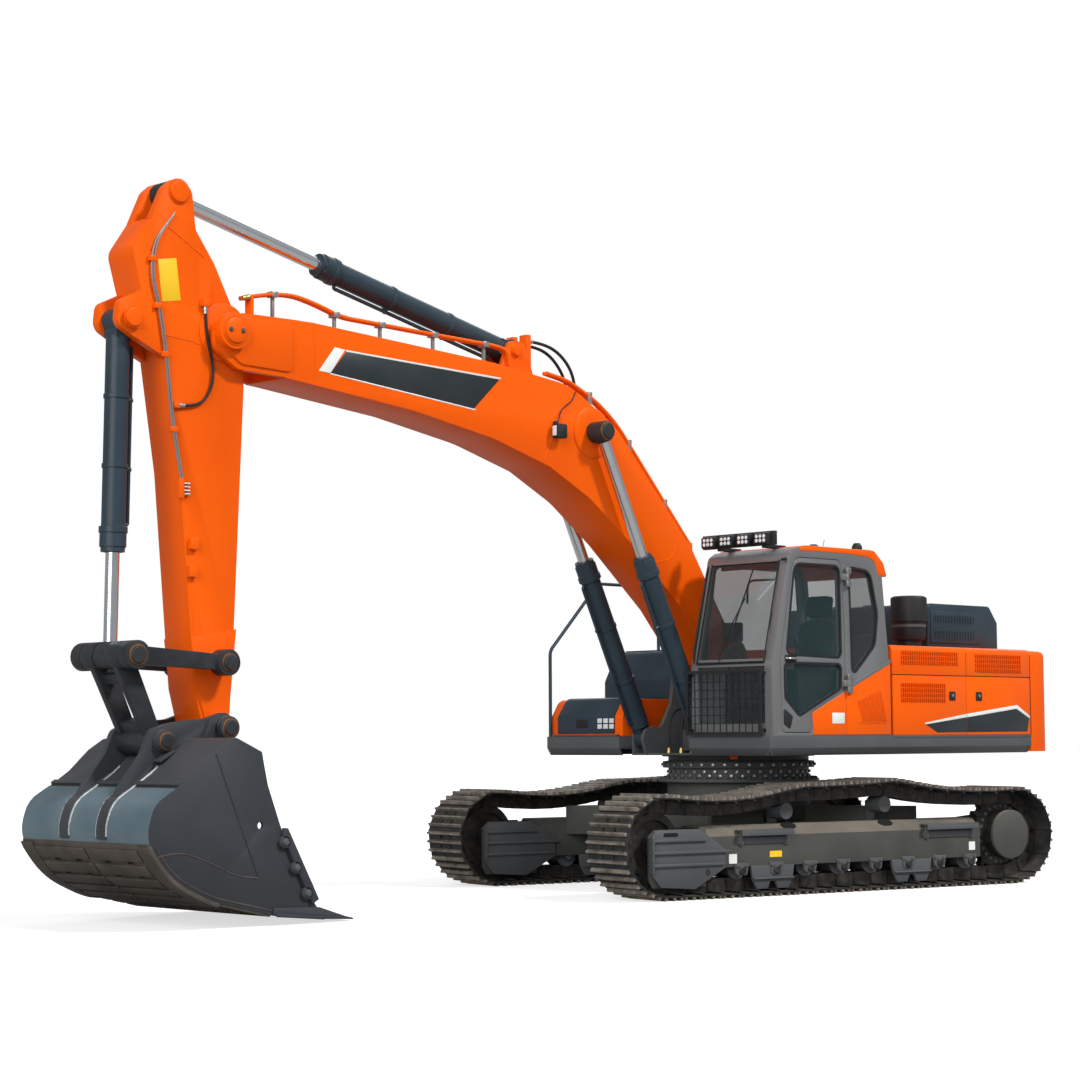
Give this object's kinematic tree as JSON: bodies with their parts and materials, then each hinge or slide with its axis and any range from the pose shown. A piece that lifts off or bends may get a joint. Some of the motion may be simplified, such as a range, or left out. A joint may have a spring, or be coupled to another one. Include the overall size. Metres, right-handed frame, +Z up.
{
  "type": "crawler excavator",
  "caption": "Crawler excavator with slewing house, boom, arm and bucket on closed cylinder linkages, cab, engine bay covers and steel tracks.",
  "frame": {"origin": "point on the ground under the swing axis", "axes": "+X forward over the boom, +Y towards the cab side, +Z up"},
  "size_m": [11.0719, 4.2254, 5.9048],
  "materials": {
    "orange_paint": "gloss",
    "grey_paint": "satin",
    "cab_grey": "satin",
    "blue_grey_paint": "satin",
    "steel": "brushed",
    "engine_metal": "matte",
    "track_steel": "worn",
    "bucket_steel": "satin",
    "chrome_rod": "polished",
    "glass": "clear",
    "seat_cloth": "matte",
    "black_plastic": "matte",
    "hose_rubber": "matte",
    "bare_pipe": "brushed"
  },
  "bodies": {
    "undercarriage": {"carbody": "grey_paint", "swing_bearing": "steel", "track_left": "track_steel", "idler_left": "grey_paint", "sprocket_left": "grey_paint", "rollers_left": "grey_paint", "track_frame_left": "grey_paint", "track_right": "track_steel", "idler_right": "grey_paint", "sprocket_right": "grey_paint", "rollers_right": "grey_paint", "track_frame_right": "grey_paint"},
    "house": {"house_frame": "grey_paint", "counterweight": "orange_paint", "cab_shell": "cab_grey", "cab_glass": "glass", "seat": "seat_cloth", "consoles": "black_plastic", "machine_cover": "orange_paint", "right_covers": "orange_paint", "tanks": "blue_grey_paint", "engine_block": "engine_metal", "precleaner": "black_plastic", "toolbox": "orange_paint", "handrail": "blue_grey_paint", "light_bar": "black_plastic", "front_guard": "grey_paint", "hose_foot_left": "hose_rubber", "hose_foot_middle": "hose_rubber", "hose_foot_right": "hose_rubber"},
    "cab_door": {"cab_door_frame": "cab_grey", "cab_door_glass": "glass"},
    "side_door_front": {"side_door_front_panel": "orange_paint"},
    "side_door_rear": {"side_door_rear_panel": "orange_paint"},
    "engine_hood": {"engine_hood_shell": "blue_grey_paint"},
    "boom": {"boom_frame": "orange_paint", "hose_lift_left": "hose_rubber", "hose_lift_right": "hose_rubber"},
    "boom_barrel_left": {"boom_barrel_left": "blue_grey_paint"},
    "boom_barrel_right": {"boom_barrel_right": "blue_grey_paint"},
    "boom_rod_left": {"boom_rod_left": "chrome_rod"},
    "boom_rod_right": {"boom_rod_right": "chrome_rod"},
    "arm_barrel": {"arm_barrel": "blue_grey_paint"},
    "arm_rod": {"arm_rod": "chrome_rod"},
    "arm": {"arm_frame": "orange_paint", "hose_arm": "hose_rubber"},
    "bucket_barrel": {"bucket_barrel": "blue_grey_paint"},
    "bucket_rod": {"bucket_rod": "chrome_rod"},
    "side_links": {"side_links": "blue_grey_paint"},
    "h_link": {"h_link": "blue_grey_paint"},
    "bucket": {"bucket_shell": "bucket_steel", "bucket_edge": "bucket_steel"}
  },
  "joints": [
    {"name": "swing", "type": "hinge", "parent": "undercarriage", "child": "house", "pos_m": [0, 0, 0], "axis": [0, 0, 1], "continuous": true},
    {"name": "boom", "type": "hinge", "parent": "house", "child": "boom", "pos_m": [0.405, 0, 2.166], "axis": [0, -1, 0], "range_deg": [-66, 40]},
    {"name": "arm", "type": "hinge", "parent": "boom", "child": "arm", "pos_m": [6.407, 0, 4.711], "axis": [0, 1, 0], "range_deg": [-75, 26]},
    {"name": "bucket", "type": "hinge", "parent": "arm", "child": "bucket", "pos_m": [6.44, 0, 1.53], "axis": [0, 1, 0], "range_deg": [-62, 95]},
    {"name": "boom_barrel_left", "type": "hinge", "parent": "house", "child": "boom_barrel_left", "pos_m": [0.94, 0.385, 1.43], "axis": [0, -1, 0], "range_deg": [-63.34, 38.58]},
    {"name": "boom_rod_left", "type": "slide", "parent": "boom_barrel_left", "child": "boom_rod_left", "axis": [0.4337, 0, 0.9011], "range_m": [-0.9672, 0.5881]},
    {"name": "boom_barrel_right", "type": "hinge", "parent": "house", "child": "boom_barrel_right", "pos_m": [0.94, -0.385, 1.43], "axis": [0, -1, 0], "range_deg": [-63.34, 38.58]},
    {"name": "boom_rod_right", "type": "slide", "parent": "boom_barrel_right", "child": "boom_rod_right", "axis": [0.4337, 0, 0.9011], "range_m": [-0.9672, 0.5881]},
    {"name": "arm_barrel", "type": "hinge", "parent": "boom", "child": "arm_barrel", "pos_m": [3.12, 0, 4.93], "axis": [0, 1, 0], "range_deg": [-5.75, 2.32]},
    {"name": "arm_rod", "type": "slide", "parent": "arm_barrel", "child": "arm_rod", "axis": [0.9739, 0, 0.2271], "range_m": [-1.4354, 0.5009]},
    {"name": "bucket_barrel", "type": "hinge", "parent": "arm", "child": "bucket_barrel", "pos_m": [7.295, 0, 4.73], "axis": [0, 1, 0], "range_deg": [-2.3, 3.25]},
    {"name": "bucket_rod", "type": "slide", "parent": "bucket_barrel", "child": "bucket_rod", "axis": [0.0189, 0, -0.9998], "range_m": [-0.6084, 0.9296]},
    {"name": "side_links", "type": "hinge", "parent": "arm", "child": "side_links", "pos_m": [6.48, 0, 2.045], "axis": [0, 1, 0], "range_deg": [-44.56, 68.01]},
    {"name": "h_link", "type": "hinge", "parent": "bucket", "child": "h_link", "pos_m": [7.045, 0, 1.43], "axis": [0, 1, 0], "range_deg": [-68.51, 44.89]},
    {"name": "cab_door", "type": "hinge", "parent": "house", "child": "cab_door", "pos_m": [0.15, 1.525, 2.2], "axis": [0, 0, 1], "range_deg": [0, 105]},
    {"name": "side_door_front", "type": "hinge", "parent": "house", "child": "side_door_front", "pos_m": [-0.556, 1.502, 1.75], "axis": [0, 0, -1], "range_deg": [0, 110]},
    {"name": "side_door_rear", "type": "hinge", "parent": "house", "child": "side_door_rear", "pos_m": [-2.824, 1.502, 1.75], "axis": [0, 0, 1], "range_deg": [0, 110]},
    {"name": "engine_hood", "type": "hinge", "parent": "house", "child": "engine_hood", "pos_m": [-2.3, -1.05, 2.316], "axis": [1, 0, 0], "range_deg": [0, 70]}
  ],
  "couplings": [
    {"joint": "boom_barrel_left", "follows": "boom", "ratio": 0.9521},
    {"joint": "boom_rod_left", "follows": "boom", "m_per_rad": 0.83529},
    {"joint": "boom_barrel_right", "follows": "boom", "ratio": 0.9521},
    {"joint": "boom_rod_right", "follows": "boom", "m_per_rad": 0.83529},
    {"joint": "arm_barrel", "follows": "arm", "ratio": 0.07},
    {"joint": "arm_rod", "follows": "arm", "m_per_rad": 1.0927},
    {"joint": "bucket_barrel", "follows": "bucket", "ratio": 0.02898},
    {"joint": "bucket_rod", "follows": "bucket", "m_per_rad": 0.55766},
    {"joint": "side_links", "follows": "bucket", "ratio": 0.71061},
    {"joint": "h_link", "follows": "bucket", "ratio": -0.71593}
  ]
}
